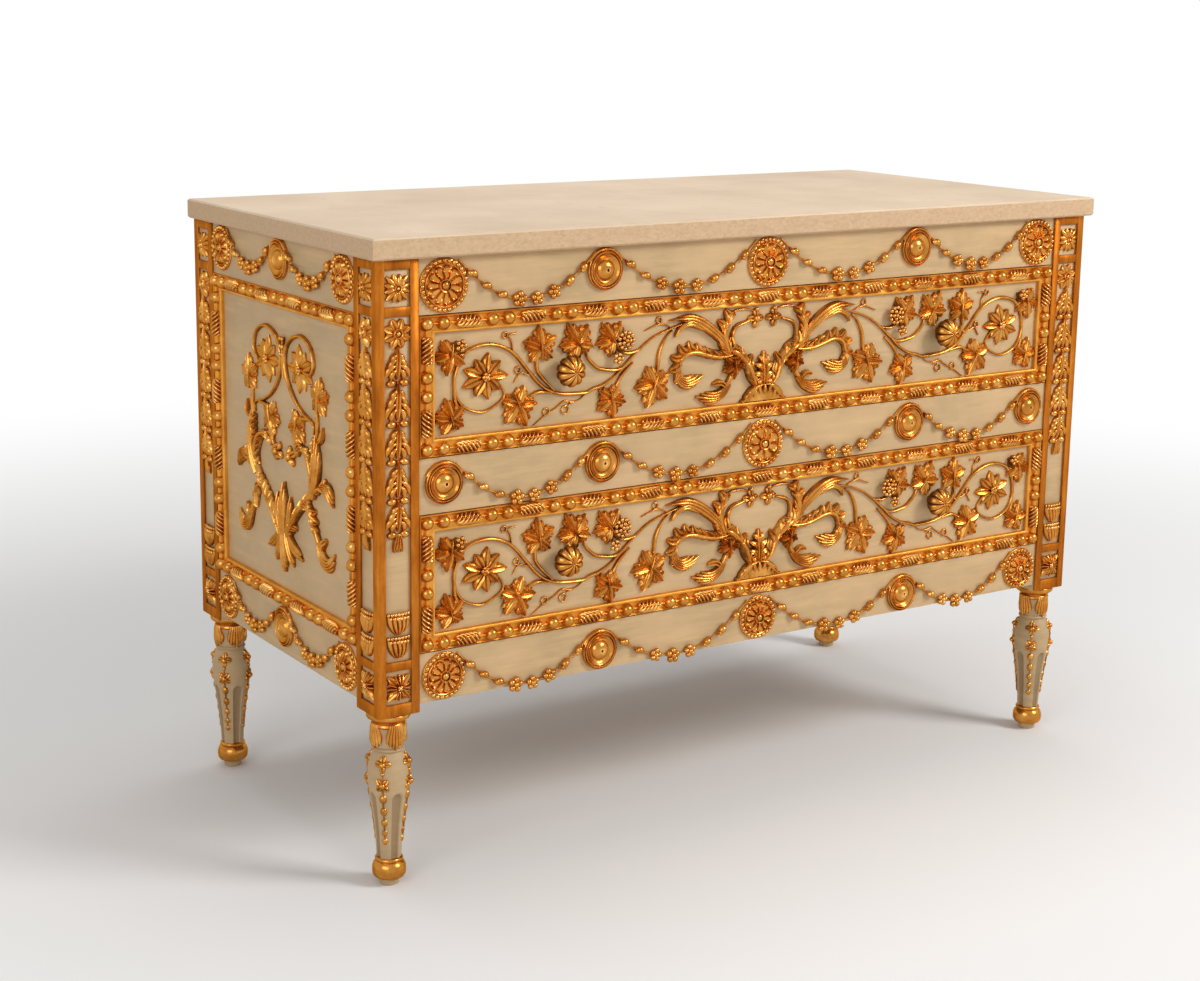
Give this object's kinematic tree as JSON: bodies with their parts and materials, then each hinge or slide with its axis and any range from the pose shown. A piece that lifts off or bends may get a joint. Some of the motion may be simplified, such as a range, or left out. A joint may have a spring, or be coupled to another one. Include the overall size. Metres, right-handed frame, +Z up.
{
  "type": "commode chest",
  "caption": "Commode chest with a stone top and sliding drawers, painted cream with gilded carved ornament, on turned and fluted legs.",
  "frame": {"origin": "on the floor, at the bottom centre of the bounding box with its knobs", "axes": "+X to the right along the width, +Y to the back, +Z up; the drawers open towards -Y"},
  "size_m": [1.35, 0.6424, 0.9327],
  "materials": {
    "stone": "polished beige limestone with small pits",
    "cream": "cream paint with an antique glaze",
    "gilt": "gilded carved wood, worn to its red ground",
    "bare_wood": "unfinished wood"
  },
  "bodies": {
    "carcass": {"stone_top": "stone", "post_front_left": "gilt", "leg_front_left": "cream", "post_back_left": "gilt", "leg_back_left": "cream", "post_front_right": "gilt", "leg_front_right": "cream", "post_back_right": "gilt", "leg_back_right": "cream", "front_top_rail": "cream", "front_middle_rail": "cream", "front_bottom_rail": "cream", "back_panel": "bare_wood", "left_top_rail": "cream", "left_bottom_rail": "cream", "left_end_panel": "cream", "left_upper_runner": "bare_wood", "left_lower_runner": "bare_wood", "left_upper_kicker": "bare_wood", "left_lower_kicker": "bare_wood", "left_bead_frame": "gilt", "left_carving": "gilt", "left_top_garland": "gilt", "left_bottom_garland": "gilt", "right_top_rail": "cream", "right_bottom_rail": "cream", "right_end_panel": "cream", "right_upper_runner": "bare_wood", "right_lower_runner": "bare_wood", "right_upper_kicker": "bare_wood", "right_lower_kicker": "bare_wood", "right_bead_frame": "gilt", "right_carving": "gilt", "right_top_garland": "gilt", "right_bottom_garland": "gilt", "dust_board": "bare_wood", "bottom_board": "bare_wood", "front_top_garland": "gilt", "front_middle_garland": "gilt", "front_bottom_garland": "gilt"},
    "upper_drawer": {"upper_drawer_front": "cream", "upper_drawer_left_side": "bare_wood", "upper_drawer_right_side": "bare_wood", "upper_drawer_back": "bare_wood", "upper_drawer_bottom": "bare_wood", "upper_drawer_bead_frame": "gilt", "upper_drawer_carving": "gilt", "upper_drawer_left_knob": "gilt", "upper_drawer_right_knob": "gilt"},
    "lower_drawer": {"lower_drawer_front": "cream", "lower_drawer_left_side": "bare_wood", "lower_drawer_right_side": "bare_wood", "lower_drawer_back": "bare_wood", "lower_drawer_bottom": "bare_wood", "lower_drawer_bead_frame": "gilt", "lower_drawer_carving": "gilt", "lower_drawer_left_knob": "gilt", "lower_drawer_right_knob": "gilt"}
  },
  "joints": [
    {"name": "upper_drawer_slide", "type": "slide", "parent": "carcass", "child": "upper_drawer", "axis": [0, -1, 0], "range_m": [0, 0.4]},
    {"name": "lower_drawer_slide", "type": "slide", "parent": "carcass", "child": "lower_drawer", "axis": [0, -1, 0], "range_m": [0, 0.4]}
  ]
}
